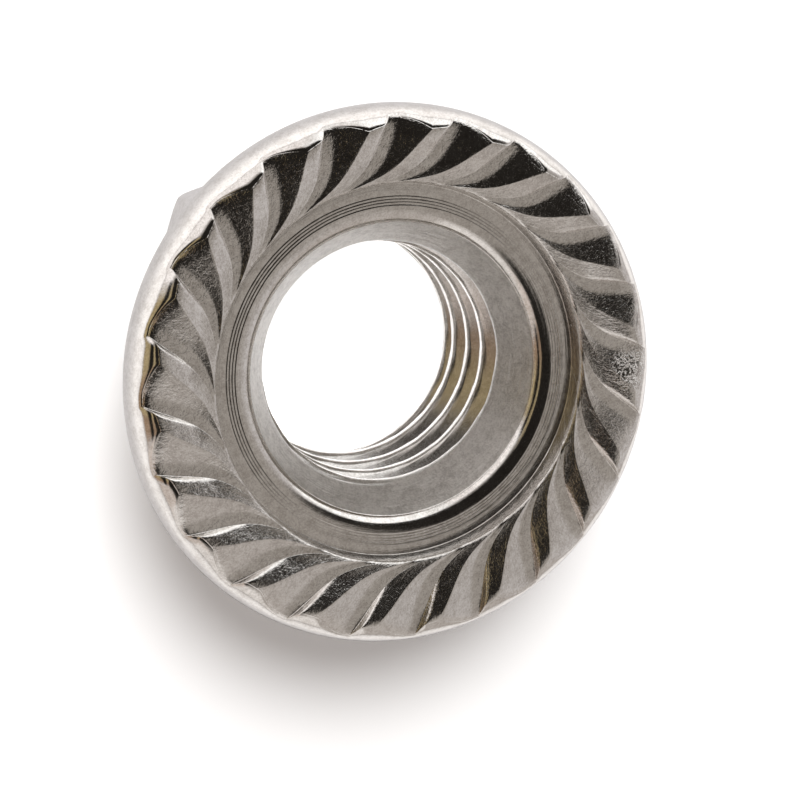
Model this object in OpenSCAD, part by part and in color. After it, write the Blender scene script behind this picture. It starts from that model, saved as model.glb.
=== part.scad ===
// Serrated flange nut: a hexagon with a round flange in one piece. The serrated bearing face looks up
// and the plain end of the hexagon stands on z = 0. The thread's axis is Z.

/* [Body] */
// Overall height, from the hexagon's end to the tops of the serrations
height = 10; // [9.6:0.1:12]
// Width across the hexagon's flats
across_flats = 14; // [13:0.1:15]
// Width across the hexagon's rounded corners
across_corners = 15.9; // [15.6:0.1:16.2]

/* [Flange] */
// Diameter of the flange
flange_d = 18.9; // [18.4:0.1:21]
// Height of the flange's lower edge above the hexagon's end
flange_edge_z = 7.7; // [7:0.1:8.2]
// Width of the rounding of the flange's upper edge
rim_round = 1.2; // [1:0.05:1.4]
// Height of that rounding, down from just above the serrations
rim_rise = 1.65; // [1.5:0.05:1.8]
// Slope of the flange's upper side below the edge, in degrees from level
flange_slope = 25; // [15:1:30]

/* [Thread bore] */
// Diameter of the bore at the thread's crests, for a 10 mm thread of 1.5 mm pitch
bore_d = 8.5; // [8.4:0.05:8.6]
// Mouth diameter of the cone at each end of the thread
cone_mouth_d = 10.3; // [9.6:0.1:10.5]
// Angle of those cones' walls from the axis, in degrees
cone_angle = 30; // [25:1:45]

/* [Bearing face] */
// Inner diameter of the turned ring around the hole
ring_inner_d = 11.4; // [11:0.1:11.8]
// Outer diameter of the turned ring, where the serrations begin
ring_outer_d = 12.95; // [12.5:0.05:13.2]
// Depth of the turned ring below the tops of the serrations
ring_depth = 1.2; // [1:0.05:1.4]
// Depth of the rounded chamfer between the ring and the cone
ring_chamfer = 0.4; // [0.2:0.05:0.5]

/* [Serrations] */
// Number of teeth
teeth = 24; // [18:1:30]
// Depth of a tooth
tooth_depth = 0.34; // [0.2:0.02:0.5]
// Sweep of a tooth from the ring to the flange's edge, in degrees
tooth_sweep = 20.5; // [5:0.5:30]
// Turn of the whole row of teeth from the hexagon's corner, in degrees
tooth_phase = 1.2; // [0:0.1:15]

/* [Hidden] */
$fn = 96;
clear = 1;

// Body
flange_r = flange_d / 2;
hex_end_chamfer_r = 0.475 * across_flats;
hex_chamfer_angle = 30;
ring_z = height - ring_depth;
rim_centre = [flange_r - rim_round, height + 0.05 - rim_rise];
rim_steps = 12;
edge_round = 0.55;
edge_centre = [flange_r - edge_round, flange_edge_z + edge_round];

// Bore
bore_r = bore_d / 2;
mouth_r = cone_mouth_d / 2;
cone_len = (mouth_r - bore_r) / tan(cone_angle);
recess_z = ring_z - ring_chamfer;
chamfer_steps = 6;
chamfer_turn = 66;

// Serrations: x is the distance outwards from the ring's edge
ring_r = ring_outer_d / 2;
tooth_len = flange_r - 0.55 - ring_r;
crest_len = tooth_len - 0.45;
cutter_x = [-0.15, tooth_len + 0.85];
rows = 8;
// A tooth's columns: share of its ramp or of its drop, and share of the tooth's depth there
ramp_points = [[0, 0], [0.35, 0.25], [0.7, 0.65]];
drop_points = [[0, 1], [0.5, 0.71]];
cols = len(ramp_points) + len(drop_points);
// How the row climbs from the ring: a step, a curve that flattens out, and an even slope
first_step = 0.6;
face_slope = 0.08;
climb = ring_depth - tooth_depth - first_step - face_slope * crest_len;
climb_len = 0.5;
depth_len = 0.25;
// The sweep is steep beside the ring and then nearly even
sweep_tip = 0.64 * tooth_sweep;
sweep_tip_len = 0.42;
// Share of the pitch that the ramp takes: none at the ring, half soon after, three quarters at the edge
ramp_near = 0.52;
ramp_gain = 0.25;
ramp_len = 0.12;

// Height of the valleys above the ring
function floor_z(x) = first_step + climb * (1 - exp(-max(x, 0) / climb_len)) + face_slope * max(x, 0);

// Depth of a tooth: it fades out beside the ring, and its crest reaches full height inside the edge
function depth(x) = (tooth_depth + 0.02) * (1 - exp(-max(x, 0) / depth_len));

// Angle that a tooth's line has turned at x, counted back from its outer end
function sweep(x) = sweep_tip * exp(-x / sweep_tip_len) + (tooth_sweep - sweep_tip) * (1 - x / tooth_len);

// Share of the pitch taken by the ramp; at the ring the drop fills nearly the whole pitch
function ramp_share(x) =
    (ramp_near + ramp_gain * pow(min(max(x, 0) / tooth_len, 1), 1.3)) * (1 - 0.9 * exp(-max(x, 0) / ramp_len));

// Place of column c in its tooth at x, from 0 to 1
function place(c, x) =
    let (n = len(ramp_points), share = ramp_share(x))
    c < n ? share * ramp_points[c][0] : share + (1 - share) * drop_points[c - n][0];

// Share of the tooth's depth at column c
function lift(c) = let (n = len(ramp_points)) c < n ? ramp_points[c][1] : drop_points[c - n][1];

// Distance x of row j; rows lie closer together beside the ring
function row_x(j) = cutter_x[0] + (cutter_x[1] - cutter_x[0]) * pow(j / rows, 1.6);

// Point of the toothed surface in row j at column i of the whole circle
function tooth_point(i, j) =
    let (
        x = row_x(j),
        r = ring_r + x,
        c = i % cols,
        a = tooth_phase + sweep(x) - 360 / teeth * (floor(i / cols) + place(c, x))
    )
    [r * cos(a), r * sin(a), ring_z + floor_z(x) + lift(c) * depth(x)];

// Solid ring above the teeth: its underside is the toothed surface, its top is flat
module tooth_cutter() {
    n = teeth * cols;
    top_z = height + clear;
    surface = [for (j = [0:rows], i = [0:n - 1]) tooth_point(i, j)];
    lid = [for (j = [0, rows], i = [0:n - 1]) let (p = tooth_point(i, j)) [p.x, p.y, top_z]];
    lid_in = (rows + 1) * n;
    lid_out = lid_in + n;
    faces = [
        for (i = [0:n - 1]) let (k = (i + 1) % n) each [
            for (j = [0:rows - 1], f = [
                [j * n + i, (j + 1) * n + k, (j + 1) * n + i],
                [j * n + i, j * n + k, (j + 1) * n + k]
            ]) f
        ],
        for (i = [0:n - 1]) let (k = (i + 1) % n) each [
            [lid_in + i, lid_out + k, lid_in + k],
            [lid_in + i, lid_out + i, lid_out + k],
            [i, lid_in + k, k],
            [i, lid_in + i, lid_in + k],
            [rows * n + i, rows * n + k, lid_out + k],
            [rows * n + i, lid_out + k, lid_out + i]
        ]
    ];
    polyhedron(concat(surface, lid), faces);
}

// Point on an arc, at angle a from level
function arc(centre, r, a) = centre + r * [cos(a), sin(a)];

// Flange before it is serrated: rounded edge above, small round below, sloping side towards the hexagon
module flange_blank() {
    top = asin((height - rim_centre.y) / rim_rise);
    under = arc(edge_centre, edge_round, flange_slope - 90);
    inner_r = bore_r + clear;
    rotate_extrude() polygon([
        [inner_r, height],
        for (k = [rim_steps:-1:0]) let (a = top * k / rim_steps)
            rim_centre + [rim_round * cos(a), rim_rise * sin(a)],
        for (k = [0:rim_steps / 2]) arc(edge_centre, edge_round, (flange_slope - 90) * k * 2 / rim_steps),
        [inner_r, under.y - (under.x - inner_r) * tan(flange_slope)]
    ]);
}

// Hexagon with rounded corners and a chamfered end
module hexagon() {
    corner_r = across_corners / 2;
    chamfer_z = (corner_r - hex_end_chamfer_r) * tan(hex_chamfer_angle);
    top_z = flange_edge_z + edge_round;
    intersection() {
        cylinder(d = across_flats / cos(30), h = top_z, $fn = 6);
        rotate_extrude() polygon([
            [0, 0], [hex_end_chamfer_r, 0], [corner_r, chamfer_z], [corner_r, top_z], [0, top_z]
        ]);
    }
}

// Bore at the thread's crests, with the cone at the hexagon's end
module bore() {
    translate([0, 0, -clear]) cylinder(r = bore_r, h = height + 2 * clear);
    translate([0, 0, -clear])
        cylinder(r1 = mouth_r + clear * tan(cone_angle), r2 = bore_r, h = cone_len + clear);
}

// Turned recess in the bearing face: cone, rounded chamfer, and the ring up to the serrations
module recess() {
    ring_in = ring_inner_d / 2;
    rotate_extrude() polygon([
        [0, recess_z - cone_len], [bore_r, recess_z - cone_len], [mouth_r, recess_z],
        for (k = [1:chamfer_steps]) let (a = chamfer_turn * (1 - k / chamfer_steps))
            [ring_in - (ring_in - mouth_r) * sin(a) / sin(chamfer_turn),
             ring_z - ring_chamfer * (1 - cos(a)) / (1 - cos(chamfer_turn))],
        [ring_r, ring_z], [ring_r, height + clear], [0, height + clear]
    ]);
}

module flange_nut() {
    color([0.80, 0.79, 0.77]) difference() {
        union() {
            hexagon();
            flange_blank();
        }
        bore();
        recess();
        tooth_cutter();
    }
}

flange_nut();
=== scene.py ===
from math import cos, pi, radians, sin, sqrt, tan

import bpy
import numpy as np
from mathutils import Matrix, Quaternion, Vector


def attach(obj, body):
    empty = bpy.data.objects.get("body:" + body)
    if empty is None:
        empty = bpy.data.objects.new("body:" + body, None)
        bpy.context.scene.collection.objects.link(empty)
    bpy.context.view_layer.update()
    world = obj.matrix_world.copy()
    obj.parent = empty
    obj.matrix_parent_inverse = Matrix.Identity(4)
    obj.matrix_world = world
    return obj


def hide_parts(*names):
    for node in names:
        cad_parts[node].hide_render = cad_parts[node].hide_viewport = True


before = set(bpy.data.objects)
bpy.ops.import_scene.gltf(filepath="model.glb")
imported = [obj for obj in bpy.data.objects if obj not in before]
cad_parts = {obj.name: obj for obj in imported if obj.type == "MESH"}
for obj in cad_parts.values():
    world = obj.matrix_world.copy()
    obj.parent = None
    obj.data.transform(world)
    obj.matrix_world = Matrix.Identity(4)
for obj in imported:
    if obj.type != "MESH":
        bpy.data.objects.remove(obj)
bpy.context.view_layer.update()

# The camera looks down on the serrated face from 22 degrees off the thread's axis, at 60 mm, with a
# lens long enough for the nut to fill two thirds of the frame. Sizes in this script are in millimetres,
# and MM turns them into the scene's metres.
MM = 0.001
VIEW_AZIMUTH = radians(130.6)
VIEW_ELEVATION = radians(68.25)
VIEW_ROLL = radians(120.4)
VIEW_DISTANCE = 60.33
VIEW_AIM = (-0.227, -0.949, 8.8)
LENS = 78.75
SENSOR = 36.0


def add_camera():
    """Camera on a sphere round the aim point, turned to it, then rolled about its own line of sight."""
    towards = Vector((
        cos(VIEW_ELEVATION) * cos(VIEW_AZIMUTH),
        cos(VIEW_ELEVATION) * sin(VIEW_AZIMUTH),
        sin(VIEW_ELEVATION),
    ))
    data = bpy.data.cameras.new("photo_camera")
    data.lens = LENS
    data.sensor_width = SENSOR
    data.clip_start = 0.001
    data.clip_end = 10.0
    camera = bpy.data.objects.new("photo_camera", data)
    camera.location = (Vector(VIEW_AIM) + VIEW_DISTANCE * towards) * MM
    level = (-towards).to_track_quat("-Z", "Y")
    camera.rotation_mode = "QUATERNION"
    camera.rotation_quaternion = Quaternion(towards, VIEW_ROLL) @ level
    bpy.context.collection.objects.link(camera)
    bpy.context.scene.camera = camera


add_camera()

# The turned recess: on the real nut a cone, a rounded chamfer and a flat ring are cut around the hole
# after the blank is headed, and the tool leaves a few fine grooves in the ring beside the chamfer.
# The nut's mesh is one closed skin, laid in circles of points that follow its section all the way round.
HEIGHT = 10.0
RING_Z = 8.8
RING_IN = 5.70
RING_OUT = 6.475
MOUTH_R = 5.15
CHAMFER_DEPTH = 0.32
CHAMFER_EVEN = 0.45
MOUTH_Z = RING_Z - CHAMFER_DEPTH
CONE = radians(30)
CHAMFER_ROWS = 12
GROOVES = 4
GROOVE_PITCH = 0.10
GROOVE_DEPTH = 0.012
# Points across one groove: share of the pitch, and share of the depth
GROOVE_SHAPE = ((0.25, 0.0), (0.45, 0.6), (0.62, 1.0), (0.8, 0.5))
# Last circles of the ring: radius, and how far the points have moved over to the teeth's angles
RING_ROWS = ((RING_IN + 0.56, 0.0), (RING_OUT - 0.12, 0.5), (RING_OUT - 0.03, 0.9))


def circle(r, angle, z, centre=(0.0, 0.0)):
    """One circle of points from radius, angle and height about a centre, each a number or an array."""
    r, angle, z = np.broadcast_arrays(r, angle, z)
    return np.stack([centre[0] + r * np.cos(angle), centre[1] + r * np.sin(angle), z], axis=-1)


def even_turn(start, count):
    """Angles of a whole turn in equal steps, clockwise from the start."""
    return start - 2 * pi * np.arange(count) / count


def recess_circles(edge_angle):
    """Chamfer as an even fall plus a fourth power, the fine grooves as waves, then the level ring."""
    even = even_turn(edge_angle[0], len(edge_angle))
    rows = []
    for t in np.linspace(1, 0, CHAMFER_ROWS):
        fall = CHAMFER_EVEN * t + (1 - CHAMFER_EVEN) * t**4
        rows.append(circle(RING_IN - t * (RING_IN - MOUTH_R), even, RING_Z - CHAMFER_DEPTH * fall))
    for k in range(GROOVES):
        start = RING_IN + k * GROOVE_PITCH
        for along, share in GROOVE_SHAPE:
            rows.append(circle(start + along * GROOVE_PITCH, even, RING_Z - share * GROOVE_DEPTH))
    for r, turn in RING_ROWS:
        rows.append(circle(r, even + turn * (edge_angle - even), RING_Z))
    return rows


# The serrations: 24 teeth struck into the flange's bearing face by the heading punch. Clockwise from a
# valley, each has a strip that is nearly level, a ramp, a rounded crest and a drop that steepens
# down to the next valley. In plan every line sweeps back and runs out along the ring.
TEETH = 24
PITCH = 2 * pi / TEETH
PHASE = radians(1.2)
# Length of a tooth outwards from the ring, its depth at the outer end, and how fast it grows to that
TOOTH_LEN = 2.4
TOOTH_DEPTH = 0.45
DEPTH_POWER = 1.05
# Wall beside the ring, the distance over which it turns level, and the even slope after it
WALL = 0.73
WALL_LEN = 0.03
FACE_SLOPE = 0.045
# Sweep of a tooth's line: an even part, one that dies away near the ring, and one right at the ring
SWEEP_REST = radians(7.4)
SWEEP_TIP = radians(13.1)
SWEEP_TIP_LEN = 0.42
SWEEP_LIP = radians(6)
SWEEP_LIP_LEN = 0.07
# Ramp's share of the pitch: near the ring, gained by the outer end, and lost right at the ring
RAMP_NEAR = 0.57
RAMP_GAIN = 0.24
RAMP_POWER = 1.8
RAMP_LEN = 0.12
RAMP_LOST = 0.9
# Columns of one tooth: shares of its ramp, then shares of its drop
RAMP = np.array([
    0, 0.012, 0.035, 0.07, 0.11, 0.15, 0.19, 0.23, 0.27, 0.31, 0.35, 0.40, 0.45, 0.50, 0.56, 0.62,
    0.68, 0.74, 0.79, 0.84, 0.88, 0.92, 0.95, 0.98,
])
DROP = np.array([
    0, 0.04, 0.10, 0.18, 0.28, 0.39, 0.50, 0.60, 0.68, 0.75, 0.81, 0.86, 0.90, 0.935, 0.965, 0.985,
])
COLUMNS = TEETH * (len(RAMP) + len(DROP))
# Rows of the teeth: shares of the way from the ring to the rim, closer together at both ends
ROWS = np.concatenate([
    [0, 0.0015, 0.004, 0.008, 0.014, 0.022, 0.034, 0.050, 0.072],
    np.linspace(0.10, 0.95, 22),
    [0.97, 0.985, 1.0],
])
# Level strip before a ramp: its share at the outer end, and more of it towards the ring
STRIP_END = 0.05
STRIP_GAIN = 0.55
STRIP_POWER = 1.3
# Ramp's own course: it bends upwards, climbs evenly, and turns over into the crest
RAMP_BEND = 0.3
CREST_START = 0.94
CREST_LEN = 0.09
RAMP_STEPS = 401
# Drop's even slope, the least and greatest part of the depth that it takes, and how late the rest comes
DROP_SLOPE = 0.20
DROP_EVEN = (0.12, 0.92)
DROP_POWER = 14
# Rounding where the teeth reach the nut's top, and where they meet the rim
TOP_SOFT = 0.01
EDGE_SOFT = 0.10


def climb(x):
    """Height of the valleys above the ring, x out from it: a wall, then an even slope."""
    return WALL * (1 - np.exp(-x / WALL_LEN)) + FACE_SLOPE * x


def depth(x):
    """Height of the crests above the valleys, which grows outwards from nothing at the ring."""
    return TOOTH_DEPTH * np.clip(x / TOOTH_LEN, 1e-6, 1) ** DEPTH_POWER


def sweep(x):
    """Angle of a tooth's line at x, back from its outer end: along the ring at first, then nearly even."""
    tip = SWEEP_TIP * np.exp(-x / SWEEP_TIP_LEN) + SWEEP_LIP * np.exp(-x / SWEEP_LIP_LEN)
    return tip + SWEEP_REST * (1 - x / TOOTH_LEN)


def ramp_share(x):
    """Share of the pitch from valley to crest: little at the ring, half soon after, more at the edge."""
    share = RAMP_NEAR + RAMP_GAIN * np.clip(x / TOOTH_LEN, 0, 1) ** RAMP_POWER
    return share * (1 - RAMP_LOST * np.exp(-x / RAMP_LEN))


def smooth(t):
    """From 0 to 1 as t does, level at both ends."""
    t = np.clip(t, 0, 1)
    return t * t * (3 - 2 * t)


def ramp_lift(x, along):
    """Height up a ramp, 0 to 1: the running sum of a slope, after a level strip that narrows outwards."""
    strip = STRIP_END + STRIP_GAIN * np.clip(1 - x / TOOTH_LEN, 0, 1) ** STRIP_POWER
    s = np.linspace(0, 1, RAMP_STEPS)
    slope = smooth(s / RAMP_BEND) * (1 - smooth((s - CREST_START) / CREST_LEN))
    total = np.concatenate([[0], np.cumsum((slope[1:] + slope[:-1]) / 2)])
    return np.interp((along - strip) / (1 - strip), s, total / total[-1])


def tooth_columns():
    """Each column's tooth, its share of the ramp or of the drop, and which of the two it is on."""
    along = np.concatenate([RAMP, DROP])
    on_ramp = np.concatenate([np.ones(len(RAMP)), np.zeros(len(DROP))]) > 0.5
    tooth = np.repeat(np.arange(TEETH), len(along))
    return tooth, np.tile(along, TEETH), np.tile(on_ramp, TEETH)


TOOTH, ALONG, ON_RAMP = tooth_columns()


def lift(x):
    """Share of a tooth's depth: up the ramp, then down an even slope that ends in a steep foot."""
    width = PITCH * (RING_OUT + x) * (1 - ramp_share(x))
    even = np.clip(DROP_SLOPE * width / depth(x), *DROP_EVEN)
    drop = 1 - even * ALONG - (1 - even) * ALONG**DROP_POWER
    return np.where(ON_RAMP, ramp_lift(x, ALONG), drop)


def column_angle(x):
    """Angle of every column at distance x from the ring, clockwise from tooth to tooth, with the sweep."""
    share = ramp_share(x)
    place = np.where(ON_RAMP, share * ALONG, share + (1 - share) * ALONG)
    return PHASE + sweep(x) - PITCH * (TOOTH + place)


def soft_least(a, b, soft):
    """The lesser of two heights, rounded where they cross by the branch of a hyperbola."""
    return (a + b - np.sqrt((a - b) ** 2 + 4 * soft * soft)) / 2


def tooth_z(x):
    """Height of the toothed surface: valley, plus the tooth's share of its depth, under the nut's top."""
    return soft_least(RING_Z + climb(x) + lift(x) * depth(x), HEIGHT + TOP_SOFT, TOP_SOFT)


def tooth_circles(ends):
    """Rows of the toothed surface, from the ring to where each column meets the rim."""
    rows = []
    for t in ROWS:
        x = t * ends
        angle = column_angle(x)
        z = soft_least(tooth_z(x), rim_z(RING_OUT + x, angle), EDGE_SOFT)
        rows.append(circle(RING_OUT + x, angle, np.where(x > 0, z, RING_Z)))
    return rows


# The flange and hexagon: one cold-headed blank, whose flange and hexagon lie a little off the thread's
# centre. The rim is widely rounded above and less below; the hexagon's corners are rounded, and its
# end is chamfered by turning.
FLANGE_R = 9.40
OFF_CENTRE = (-0.07, -0.24)
RIM_ROUND = 1.2
RIM_RISE = 1.65
RIM_CENTRE = (FLANGE_R - RIM_ROUND, HEIGHT + 0.05 - RIM_RISE)
RIM_KNEE = 0.5
# Circles of the rim: shares of the way down its arc; every other point is left out from RIM_THIN on
RIM_ROWS = (0.015, 0.035, 0.07, 0.12, 0.19, 0.27, 0.36, 0.46, 0.57, 0.68, 0.79, 0.90, 1.0)
RIM_THIN = 0.1
EDGE_ROUND = 0.55
EDGE_Z = 8.25
SLOPE = radians(25)
FLAT_R = 7.0
CORNER_R = 8.02
CORNER_BLEND = 0.12
HEX_CENTRE = (-0.14, 0.0)
HEX_TURN = radians(-1.3)
END_CHAMFER_R = 6.65
END_CHAMFER_SLOPE = radians(30)
END_FACE_EDGE = 0.05
FILLET = 0.25
# Circles of the hexagon's sides and of its end chamfer, closer together at the edges
SIDE_ROWS = (0.1, 0.35, 0.65, 0.9, 0.985, 1.0)
CHAMFER_END_ROWS = (0.06, 0.5, 0.94, 1.0)
# Tooth lengths between which the rim is looked for, and how often that span is halved
END_SPAN = (1.4, 3.0)
HALVINGS = 30


def from_centre(r, angle):
    """Radius and angle, about the flange's own centre, of points given about the thread's axis."""
    x = r * np.cos(angle) - OFF_CENTRE[0]
    y = r * np.sin(angle) - OFF_CENTRE[1]
    return np.hypot(x, y), np.arctan2(y, x)


def rim_height(out):
    """Height of the rim at a distance out from its arc's centre: an ellipse, straight above the knee."""
    knee = sqrt(1 - (RIM_KNEE / RIM_ROUND) ** 2)
    slope = RIM_RISE * RIM_KNEE / (RIM_ROUND**2 * knee)
    arc = np.sqrt(1 - (np.clip(out, RIM_KNEE, RIM_ROUND) / RIM_ROUND) ** 2)
    return RIM_CENTRE[1] + RIM_RISE * arc + slope * np.clip(RIM_KNEE - out, 0, None)


def rim_z(r, angle):
    """Height of the rounded rim above a point of the bearing face."""
    return rim_height(from_centre(r, angle)[0] - RIM_CENTRE[0])


def tooth_ends():
    """Distance x at which each column's tooth meets the rounded rim, by halving the interval."""
    low, high = (np.full(COLUMNS, length) for length in END_SPAN)
    for _ in range(HALVINGS):
        middle = (low + high) / 2
        above = tooth_z(middle) > rim_z(RING_OUT + middle, column_angle(middle))
        high = np.where(above, middle, high)
        low = np.where(above, low, middle)
    return (low + high) / 2


def rim_circles(ends):
    """Rim's arc from the teeth's ends down to the widest circle; the columns even out on the way."""
    radius, first = from_centre(RING_OUT + ends, column_angle(ends))
    first = np.unwrap(first)
    start = np.arccos(np.clip((radius - RIM_CENTRE[0]) / RIM_ROUND, -1, 1))
    even = even_turn(first[0], COLUMNS)
    rows = []
    for t in RIM_ROWS:
        a = start * (1 - t)
        r = RIM_CENTRE[0] + RIM_ROUND * np.cos(a)
        z = soft_least(tooth_z(ends + r - radius), rim_height(r - RIM_CENTRE[0]), EDGE_SOFT * (1 - t))
        step = 1 if t < RIM_THIN else 2
        rows.append(circle(r, first + t * (even - first), z, OFF_CENTRE)[::step])
    return rows, even[::2]


def hexagon_r(angle):
    """Radius of the hexagon at an angle: the flat, blended at the corner into the corner's circle."""
    off = (angle - HEX_TURN + pi / 6) % (pi / 3) - pi / 6
    flat = FLAT_R / np.cos(pi / 6 - np.abs(off))
    gap = flat - CORNER_R
    return flat - (gap + np.sqrt(gap * gap + CORNER_BLEND**2)) / 2


def underside_circles(angle):
    """Flange's lower round, its slope to the hexagon, a small fillet, the sides and the end's chamfer."""
    rows = []
    centre_r = FLANGE_R - EDGE_ROUND
    for a in np.linspace(0, SLOPE - pi / 2, 8):
        r = centre_r + EDGE_ROUND * cos(a)
        rows.append(circle(r, angle, EDGE_Z + EDGE_ROUND * sin(a), OFF_CENTRE))
    low_r = centre_r + EDGE_ROUND * sin(SLOPE)
    low_z = EDGE_Z - EDGE_ROUND * cos(SLOPE)
    side = hexagon_r(angle)
    foot_z = low_z - (low_r - side - FILLET) * tan(SLOPE)
    for t in (0.35, 0.7, 1.0):
        r = low_r + t * (side + FILLET - low_r)
        centre = [a + t * (b - a) for a, b in zip(OFF_CENTRE, HEX_CENTRE)]
        rows.append(circle(r, angle, low_z - (low_r - r) * tan(SLOPE), centre))
    for a in np.linspace(0, pi / 2 - SLOPE, 6)[1:]:
        r = side + FILLET * (1 - np.sin(a + SLOPE) + sin(SLOPE) * (1 - a / (pi / 2 - SLOPE)))
        rows.append(circle(r, angle, foot_z - FILLET * (cos(SLOPE) - np.cos(a + SLOPE)), HEX_CENTRE))
    top = foot_z - FILLET * cos(SLOPE)
    bottom = (side - END_CHAMFER_R) * tan(END_CHAMFER_SLOPE)
    for t in SIDE_ROWS:
        rows.append(circle(side, angle, top + t * (bottom - top), HEX_CENTRE))
    for t in CHAMFER_END_ROWS:
        rows.append(circle(side + t * (END_CHAMFER_R - side), angle, bottom * (1 - t), HEX_CENTRE))
    rows.append(circle(END_CHAMFER_R - END_FACE_EDGE, angle, 0.0, HEX_CENTRE))
    return rows


# The thread: tapped right-handed through the nut, M10 x 1.5, with flats at crest and root and flanks
# 30 degrees from square. A cone at each end lets the screw start.
THREAD_PITCH = 1.5
CREST_R = 4.25
ROOT_R = 5.05
CREST_FLAT = 0.28
FLANK = radians(30)
THREAD_PHASE = radians(64)
THREAD_ROWS = 106
THREAD_END = 7.25
THREAD_FADE = 0.4
END_FACE_R = 6.0


def thread_r(angle, z):
    """Wall of the tapped hole: the helical V groove, opened by the cone at each end."""
    turn = z / THREAD_PITCH - (angle - THREAD_PHASE) / (2 * pi)
    off = np.abs((turn + 0.5) % 1.0 - 0.5) * THREAD_PITCH
    groove = np.clip((off - CREST_FLAT / 2) / tan(FLANK), 0, ROOT_R - CREST_R)
    groove = CREST_R + groove * smooth((THREAD_END - z) / THREAD_FADE)
    upper = MOUTH_R - (MOUTH_Z - z) * tan(CONE)
    lower = MOUTH_R - z * tan(CONE)
    return np.maximum(groove, np.maximum(upper, lower))


def hole_circles(outer, inner):
    """End face, then up the hole: lower cone, thread and upper cone, turning from one set of angles on."""
    rows = [circle(r, outer, 0.0) for r in (END_FACE_R, MOUTH_R + 0.04, MOUTH_R)]
    wall = np.linspace(0.2, MOUTH_Z - 0.3, THREAD_ROWS)
    for z in np.concatenate([[0.02], wall, [MOUTH_Z - 0.15, MOUTH_Z - 0.02]]):
        angle = outer + smooth(z / MOUTH_Z) * (inner - outer)
        rows.append(circle(thread_r(angle, z), angle, z))
    return rows


# The nut in one skin: the punch, the turning tool and the tap have each left their own part of it, and
# the circles of all of them follow one another from the chamfer over the teeth, round and up the hole.
def strip(low, high, low_start, high_start):
    """Faces between two circles of points, whose counts are the same or two to one."""
    if low == high:
        a = np.arange(low)
        b = (a + 1) % low
        return [np.stack([low_start + a, low_start + b, high_start + b, high_start + a], axis=1)]
    fine, coarse = max(low, high), min(low, high)
    fine_start, coarse_start = (low_start, high_start) if low > high else (high_start, low_start)
    c = np.arange(coarse)
    d = (c + 1) % coarse
    f = 2 * c
    g = f + 1
    h = (f + 2) % fine
    c, d = coarse_start + c, coarse_start + d
    f, g, h = fine_start + f, fine_start + g, fine_start + h
    faces = [np.stack(q, axis=1) for q in ((f, g, c), (g, d, c), (g, h, d))]
    return faces if low > high else [q[:, ::-1] for q in faces]


def skin(name, circles):
    """Closed mesh through a loop of circles, the last joined to the first."""
    counts = [len(c) for c in circles]
    starts = np.concatenate([[0], np.cumsum(counts)])[:-1]
    faces = []
    for i, count in enumerate(counts):
        k = (i + 1) % len(circles)
        for block in strip(count, counts[k], starts[i], starts[k]):
            faces.extend(block.tolist())
    mesh = bpy.data.meshes.new(name)
    mesh.from_pydata((np.concatenate(circles) * MM).tolist(), [], faces)
    mesh.validate()
    mesh.shade_smooth()
    piece = bpy.data.objects.new(name, mesh)
    bpy.context.collection.objects.link(piece)
    return piece


def near_turn(angle, other):
    """The same angles, with whole turns added until the first lies next to the other's first."""
    return angle + 2 * pi * np.round((other[0] - angle[0]) / (2 * pi))


def add_nut():
    """All circles of the nut in order, joined into one skin; attributes mark the teeth and the drops."""
    ends = tooth_ends()
    edge_angle = column_angle(np.zeros(COLUMNS))[::2]
    recess = recess_circles(edge_angle)
    teeth = tooth_circles(ends)
    rim, outer = rim_circles(ends)
    under = underside_circles(outer)
    inner = near_turn(even_turn(edge_angle[0], COLUMNS // 4), outer)
    hole = hole_circles(outer[::2], inner)
    piece = skin("serrated_nut", recess + teeth + rim + under + hole)
    before = sum(map(len, recess))
    struck = len(teeth) * COLUMNS
    drop = np.zeros(len(piece.data.vertices), dtype=np.float32)
    drop[before:before + struck] = np.tile(np.where(ON_RAMP, 0.0, 1.0), len(teeth))
    teeth_mask = np.zeros_like(drop)
    teeth_mask[before + COLUMNS:before + struck] = 1.0
    for name, values in (("drop", drop), ("struck", teeth_mask)):
        piece.data.attributes.new(name, "FLOAT", "POINT").data.foreach_set("value", values)
    return piece


nut = add_nut()

# The plating: a bright, slightly warm coat over the whole nut. It is matt in the turned cone and clouded
# by handling, the struck teeth show the steel's fibre, and one patch at the rim is scuffed.
DULL = (0.62, 0.59, 0.56, 1)
BRIGHT = (0.86, 0.84, 0.815, 1)
CONE_DULL = (0.48, 0.46, 0.44, 1)
CONE_BRIGHT = (0.74, 0.72, 0.695, 1)
# Heights over which the thread gives way to the cone, and radii over which the hole's finish begins
CONE_START = (6.7, 7.1)
HOLE_EDGE = (5.3, 5.1)
# Middle of the scuffed patch, and the distances from there between which it fades in
SCUFF_AT = (8.1, -2.7)
SCUFF_EDGE = (1.1, 0.3)
# Roughness where nothing is added, and how fast the fibre's lines turn along the ring, as the teeth do
POLISH = 0.10
FIBRE_TURN = 2.4


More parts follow.
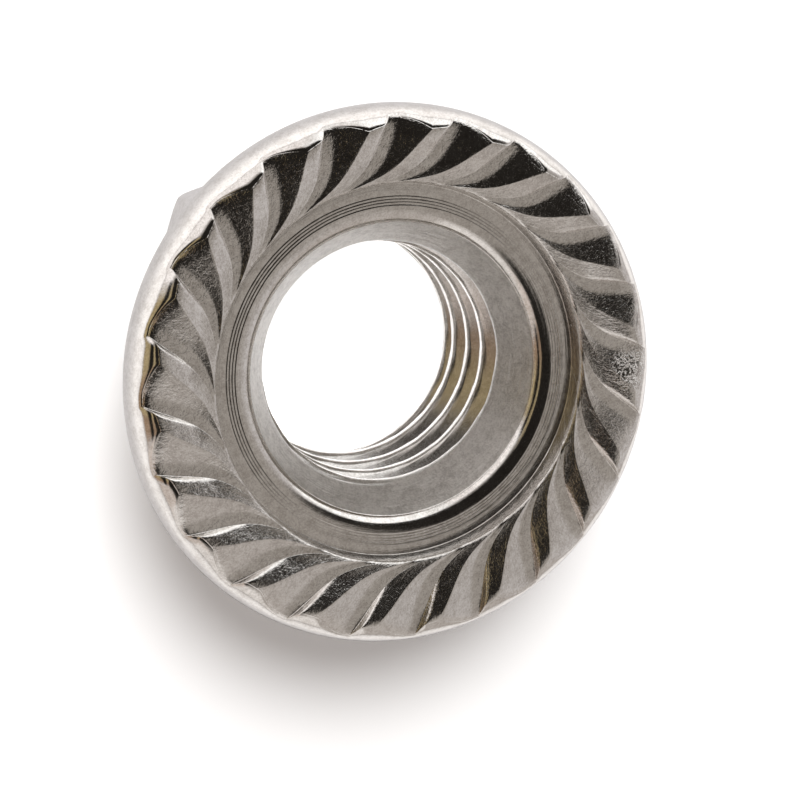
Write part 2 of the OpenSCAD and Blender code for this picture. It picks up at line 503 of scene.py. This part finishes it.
class Value:
    """A socket in a node tree, so that sums and products of sockets read as plain expressions."""

    def __init__(self, tree, socket):
        self.tree = tree
        self.socket = socket

    def node(self, kind, inputs=(), output=0, **settings):
        """Any node: its type, then its settings, then the values or links of its sockets."""
        made = self.tree.nodes.new(kind)
        for name, setting in settings.items():
            setattr(made, name, setting)
        for key, value in dict(inputs).items():
            if isinstance(value, Value):
                self.tree.links.new(value.socket, made.inputs[key])
            else:
                made.inputs[key].default_value = value
        return Value(self.tree, made.outputs[output])

    def math(self, operation, *others):
        """One Math node on this value and the others."""
        return self.node("ShaderNodeMath", dict(enumerate((self,) + others)), operation=operation)

    def __add__(self, other):
        return self.math("ADD", other)

    def __sub__(self, other):
        return self.math("SUBTRACT", other)

    def __mul__(self, other):
        return self.math("MULTIPLY", other)

    def __truediv__(self, other):
        return self.math("DIVIDE", other)

    def __radd__(self, other):
        return self.math("ADD", other)

    def __rsub__(self, other):
        return (self * -1.0).math("ADD", other)

    def __rmul__(self, other):
        return self.math("MULTIPLY", other)

    def step(self, low, high):
        """0 on low's side, 1 on high's, and smooth between them; low may be the greater."""
        return self.node(
            "ShaderNodeMapRange",
            {"Value": self, "From Min": low, "From Max": high},
            interpolation_type="SMOOTHSTEP",
        )

    def mix(self, first, second):
        """Colour between first and second, with this value as the factor."""
        return self.node("ShaderNodeMix", {0: self, 6: first, 7: second}, output=2, data_type="RGBA")

    def dot(self, direction):
        """How far this vector reaches along a direction."""
        sockets = {0: self, 1: direction}
        return self.node("ShaderNodeVectorMath", sockets, output="Value", operation="DOT_PRODUCT")

    def split(self):
        """The three parts of this vector."""
        return [self.node("ShaderNodeSeparateXYZ", {0: self}, output=k) for k in range(3)]

    def vector(self, y, z):
        """Vector with this value as x."""
        return self.node("ShaderNodeCombineXYZ", {0: self, 1: y, 2: z})

    def noise(self, detail=2.0, roughness=0.5):
        """Noise whose features are about one unit across in this vector."""
        sockets = {"Vector": self, "Scale": 1.0, "Detail": detail, "Roughness": roughness}
        return self.node("ShaderNodeTexNoise", sockets)

    def feed(self, shader, name):
        """Link this value to a socket of the shader."""
        self.tree.links.new(self.socket, shader.inputs[name])


def plated_steel():
    """Metal whose colour, gloss and bumps are sums of noises, each times the mask of one zone of the nut.

    The masks come from radius and height; drop and struck are attributes of the skin. The fibre's noise
    is stretched along the teeth's lines, and the turned noise runs round the axis.
    """
    material = bpy.data.materials.new("plated_steel")
    material.use_nodes = True
    tree = material.node_tree
    shader = tree.nodes["Principled BSDF"]
    place = Value(tree, tree.nodes.new("ShaderNodeTexCoord").outputs["Object"])
    x, y, z = [part * 1000.0 for part in place.split()]
    r = (x * x + y * y).math("SQRT")
    struck = place.node("ShaderNodeAttribute", output="Fac", attribute_name="struck")
    drop = place.node("ShaderNodeAttribute", output="Fac", attribute_name="drop")

    # Masks of the zones, 1 inside
    hole = r.step(*HOLE_EDGE)
    thread = hole * z.step(*CONE_START[::-1])
    cone = z.step(MOUTH_Z + 0.02, MOUTH_Z - 0.02) * hole * z.step(*CONE_START)
    chamfer = z.step(MOUTH_Z - 0.04, MOUTH_Z + 0.02) * r.step(RING_IN + 0.03, RING_IN - 0.02)
    ring = r.step(RING_IN - 0.02, RING_IN + 0.02) * r.step(RING_OUT + 0.02, RING_OUT - 0.03)
    ring = ring * z.step(RING_Z - 0.1, RING_Z - 0.05)

    # Noises: a factor of 4 on a coordinate gives features about a quarter of a millimetre across
    turned = (x / r * 3.0).vector(y / r * 3.0, (r + z * 0.6) * 9.0).noise(3.0, 0.6)
    around = y.math("ARCTAN2", x) - ((r - RING_OUT) * -FIBRE_TURN).math("EXPONENT") * SWEEP_TIP
    fibre = (around.math("COSINE") * 95.0).vector(around.math("SINE") * 95.0, r * 4.5).noise(3.0, 0.65)
    pits = (x * 14.0).vector(y * 14.0, z * 14.0).noise(3.0, 0.7)
    dents = (x * 6.0).vector(y * 6.0, z * 6.0).noise(3.0, 0.7).step(0.44, 0.60)
    mottle = (x * 4.0).vector(y * 4.0, z * 4.0).noise(5.0, 0.7)
    patches = (x * 1.6).vector(y * 1.6, z * 1.6).noise(3.0, 0.55)
    off = (x - SCUFF_AT[0]).math("POWER", 2.0) + (y - SCUFF_AT[1]).math("POWER", 2.0)
    scuffed = off.math("SQRT").step(*SCUFF_EDGE)

    shader.inputs["Metallic"].default_value = 1.0
    speckle = (mottle * 0.4 + pits * 0.4 + patches * 0.2).step(0.36, 0.60)
    cone.mix(speckle.mix(DULL, BRIGHT), speckle.mix(CONE_DULL, CONE_BRIGHT)).feed(shader, "Base Color")
    roughness = POLISH + thread * 0.12 + cone * 0.26 + chamfer * 0.03 + ring * 0.10
    roughness = roughness + struck * 0.04 + drop * 0.04
    roughness = roughness + (patches - 0.5) * 0.08 + (pits - 0.5) * 0.10
    roughness.feed(shader, "Roughness")
    height = turned * (cone * 0.018 + ring * 0.010 + chamfer * 0.005)
    height = height + struck * fibre * (0.006 + drop * 0.005)
    height = height + pits * (0.002 + struck * 0.0015 + cone * 0.008)
    height = height + struck * dents * (0.0025 + scuffed * 0.014)
    sockets = {"Height": height, "Strength": 1.0, "Distance": MM}
    place.node("ShaderNodeBump", sockets, output="Normal").feed(shader, "Normal")
    return material


nut.data.materials.append(plated_steel())
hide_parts("flange_nut")
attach(nut, "root")

# The stage: a wide sheet of white paper under the nut, which stands on its plain end. The metal mirrors
# it darker close by, a painted shade that stands for the nut's own shade on the paper, so that the rim
# stands out against the white. In the hole, a painted light takes the nut's shadow off the paper.
PAPER_HALF = 1.5
PAPER = (0.9, 0.9, 0.9, 1)
# Paper as the metal mirrors it: a painted shade near the nut, fading to plain paper between the two radii
PAINTED_SHADE_NEAR = (0.54, 0.53, 0.54, 1)
PAPER_FAR = (0.9, 0.89, 0.89, 1)
PAINTED_SHADE_REACH = (12.0, 30.0)
SHADOW_GLOW = (0.08, 0.075, 0.08, 1)
# Painted light: the paper in the hole glows to all rays, so that the nut's shadow there is taken away
HOLE_PAINTED_LIGHT = (0.95, 0.95, 0.95, 1)
HOLE_PAINTED_LIGHT_EDGE = (5.6, 4.6)


def add_floor():
    """One square; it glows a little to the camera so that shadows stay soft, has painted light in the
    hole, and a painted shade near the nut for the metal to mirror.
    """
    corners = [(i * PAPER_HALF, j * PAPER_HALF, 0) for i, j in ((-1, -1), (1, -1), (1, 1), (-1, 1))]
    mesh = bpy.data.meshes.new("table_top")
    mesh.from_pydata(corners, [], [(0, 1, 2, 3)])
    floor = bpy.data.objects.new("table_top", mesh)
    bpy.context.collection.objects.link(floor)
    material = bpy.data.materials.new("white_paper")
    material.use_nodes = True
    tree = material.node_tree
    shader = tree.nodes["Principled BSDF"]
    path = tree.nodes.new("ShaderNodeLightPath")
    camera_ray = Value(tree, path.outputs["Is Camera Ray"])
    glossy_ray = Value(tree, path.outputs["Is Glossy Ray"])
    x, y, _ = Value(tree, tree.nodes.new("ShaderNodeTexCoord").outputs["Object"]).split()
    reach = (x * x + y * y).math("SQRT") * 1000.0
    # Painted shade near the nut, given only to rays that the metal mirrors
    mirrored_painted_shade = reach.step(*PAINTED_SHADE_REACH).mix(PAINTED_SHADE_NEAR, PAPER_FAR)
    glossy_ray.mix(PAPER, mirrored_painted_shade).feed(shader, "Base Color")
    shader.inputs["Roughness"].default_value = 0.9
    shader.inputs["Specular IOR Level"].default_value = 0.0
    glow = camera_ray.mix((0, 0, 0, 1), SHADOW_GLOW)
    # Painted light in the hole, over the little glow to the camera
    reach.step(*HOLE_PAINTED_LIGHT_EDGE).mix(glow, HOLE_PAINTED_LIGHT).feed(shader, "Emission Color")
    shader.inputs["Emission Strength"].default_value = 1.0
    mesh.materials.append(material)


add_floor()

# The light: one soft round lamp beyond the top of the picture, so that the shadow falls to its bottom,
# and a bright room. Right and down are the picture's own, in the plane of the bearing face.
RIGHT = (0.9455, -0.3256, 0.0)
DOWN = (-0.3256, -0.9455, 0.0)
LAMP_ZENITH = radians(31)
LAMP_SIDE = radians(252)
LAMP_DISTANCE = 0.25
LAMP_SIZE = 0.10
LAMP_POWER = 0.66


def add_lamp():
    """Disk at a zenith angle, and at a side angle that is counted from right towards down."""
    side = cos(LAMP_SIDE) * Vector(RIGHT) + sin(LAMP_SIDE) * Vector(DOWN)
    towards = sin(LAMP_ZENITH) * side + Vector((0, 0, cos(LAMP_ZENITH)))
    data = bpy.data.lights.new("soft_lamp", "AREA")
    data.shape = "DISK"
    data.size = LAMP_SIZE
    data.energy = LAMP_POWER
    lamp = bpy.data.objects.new("soft_lamp", data)
    lamp.location = towards * LAMP_DISTANCE
    lamp.rotation_mode = "QUATERNION"
    lamp.rotation_quaternion = towards.to_track_quat("Z", "Y")
    lamp.visible_glossy = False
    bpy.context.collection.objects.link(lamp)


add_lamp()

# The room as the metal mirrors it: pale walls, a white window beyond the top, a dark shape overhead that
# reaches down on the left, a dark frame and something amber at the far left, white haze at the upper left.
WALL_HIGH = (0.36, 0.33, 0.30, 1)
WALL_LOW = (0.60, 0.57, 0.56, 1)
CORNER = (0.50, 0.46, 0.43, 1)
CURTAIN = (0.66, 0.58, 0.53, 1)
SHEET = (0.85, 0.81, 0.78, 1)
WINDOW_LEFT = (0.52, 0.50, 0.48, 1)
WINDOW_RIGHT = (1.35, 1.34, 1.33, 1)
AMBER_HIGH = (0.44, 0.35, 0.20, 1)
AMBER_LOW = (0.36, 0.25, 0.17, 1)
HAZE = (1.10, 1.05, 1.03, 1)
DARK = (0.016, 0.014, 0.012, 1)


def add_room():
    """World colour by direction: areas with soft edges in u and v, right and down, one over another."""
    world = bpy.data.worlds.new("bright_room")
    bpy.context.scene.world = world
    world.use_nodes = True
    tree = world.node_tree
    background = tree.nodes["Background"]
    direction = Value(tree, tree.nodes.new("ShaderNodeTexCoord").outputs["Generated"])
    u = direction.dot(RIGHT)
    v = direction.dot(DOWN)
    lateral = (u * u + v * v).math("SQRT")

    room = lateral.step(0.62, 0.95).mix(WALL_HIGH, WALL_LOW)
    corner = (v + u * 0.25).step(0.60, 0.80) * u.step(-0.02, 0.12)
    room = corner.mix(room, CORNER)
    curtain = u.step(-0.28, -0.40) * v.step(0.42, 0.56)
    room = curtain.mix(room, CURTAIN)
    sheet = u.step(0.20, 0.05) * v.step(0.66, 0.84)
    room = sheet.mix(room, SHEET)
    window = (u * 0.35 - v).step(0.66, 0.80)
    room = window.mix(room, u.step(-0.50, 0.25).mix(WINDOW_LEFT, WINDOW_RIGHT))
    amber = u.step(-0.46, -0.54) * v.step(-0.38, -0.22) * v.step(0.50, 0.36)
    room = amber.mix(room, v.step(0.05, 0.30).mix(AMBER_HIGH, AMBER_LOW))
    haze = lateral.step(0.76, 0.86) * v.step(-0.28, -0.42) * u.step(-0.05, -0.25)
    room = haze.mix(room, HAZE)

    overhead = lateral.step(0.74, 0.64) * (u + v * 0.8).step(0.30, 0.14)
    overhead = overhead * u.step(0.56, 0.46) * u.step(-0.57, -0.49)
    below = v.step(0.10, 0.25) * u.step(0.06, -0.08) * u.step(-0.38, -0.28) * v.step(0.68, 0.56)
    far_left = lateral.step(0.94, 0.88) * u.step(-0.64, -0.72) * v.step(-0.46, -0.32)
    far_left = far_left * v.step(0.55, 0.42)
    upper_right = u.step(0.76, 0.62) * u.step(0.30, 0.40) * v.step(-0.14, -0.26) * v.step(-0.62, -0.52)
    dark = overhead
    for area in (below, far_left, upper_right):
        dark = dark.math("MAXIMUM", area)
    room = dark.mix(room, DARK)

    camera_ray = Value(tree, tree.nodes.new("ShaderNodeLightPath").outputs["Is Camera Ray"])
    camera_ray.mix(room, (1, 1, 1, 1)).feed(background, "Color")


add_room()
bpy.context.scene.view_settings.view_transform = "Standard"
